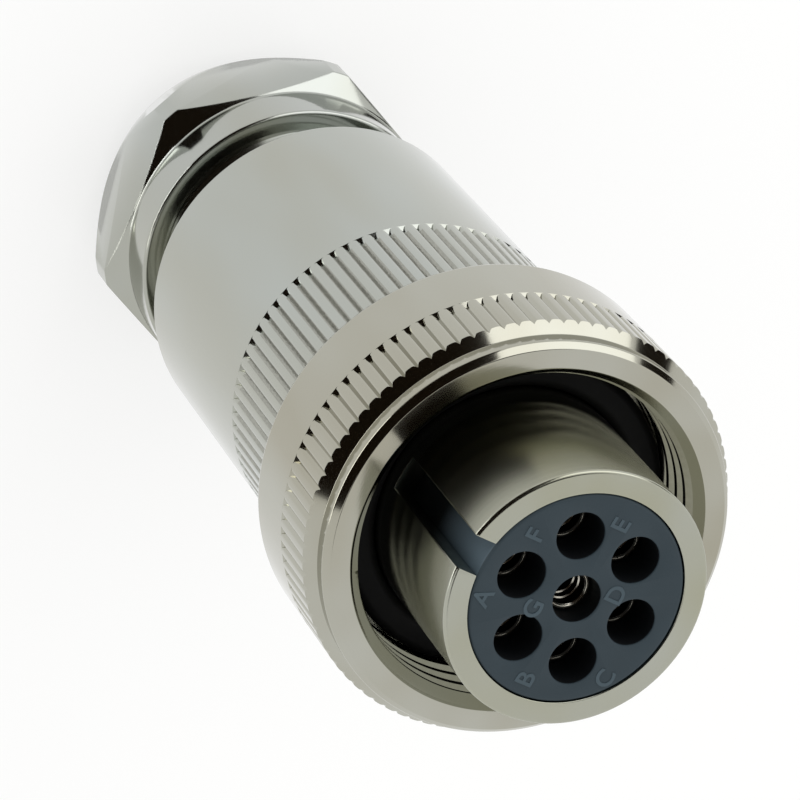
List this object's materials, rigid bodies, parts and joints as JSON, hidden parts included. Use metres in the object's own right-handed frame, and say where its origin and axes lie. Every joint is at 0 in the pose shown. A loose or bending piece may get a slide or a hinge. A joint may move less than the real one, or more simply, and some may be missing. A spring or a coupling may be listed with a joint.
{
  "type": "valve connector",
  "caption": "Round cable socket for valves: keyed contact sleeve, knurled screw coupling ring, knurled back shell and hexagonal cable gland nut.",
  "frame": {"origin": "centre of the gland nut's rear face, where the cable enters", "axes": "+Z along the connector's axis, towards the mating face; -Y towards the keyway in the contact sleeve"},
  "size_m": [0.027, 0.027, 0.063],
  "materials": {
    "nickel": "turned and nickel plated, smooth",
    "contact_plate": "turned and silver plated",
    "insert_plastic": "moulded, matte slate grey",
    "seal_rubber": "moulded black rubber"
  },
  "bodies": {
    "socket": {"back_shell": "nickel", "shell_seal": "seal_rubber", "gland_seal": "seal_rubber", "seat_washer": "nickel", "contact_sleeve": "nickel", "face_seal": "seal_rubber", "insert": "insert_plastic", "insert_seal": "seal_rubber", "contact_retainer": "insert_plastic", "spring_ring": "nickel", "contact_a": "contact_plate", "contact_b": "contact_plate", "contact_c": "contact_plate", "contact_d": "contact_plate", "contact_e": "contact_plate", "contact_f": "contact_plate", "contact_g": "contact_plate"},
    "coupling": {"coupling_ring": "nickel"},
    "gland_carriage": {"thrust_washer": "nickel"},
    "gland": {"gland_nut": "nickel"}
  },
  "joints": [
    {"name": "coupling_turn", "type": "hinge", "parent": "socket", "child": "coupling", "pos_m": [0, 0, 0.0465], "axis": [0, 0, 1], "continuous": true},
    {"name": "gland_travel", "type": "slide", "parent": "socket", "child": "gland_carriage", "axis": [0, 0, 1], "range_m": [0, 0.00141]},
    {"name": "gland_turn", "type": "hinge", "parent": "gland_carriage", "child": "gland", "pos_m": [0, 0, 0.02], "axis": [0, 0, 1], "range_deg": [0, 360]}
  ],
  "couplings": [
    {"joint": "gland_turn", "follows": "gland_travel", "rad_per_m": 4456.1}
  ]
}
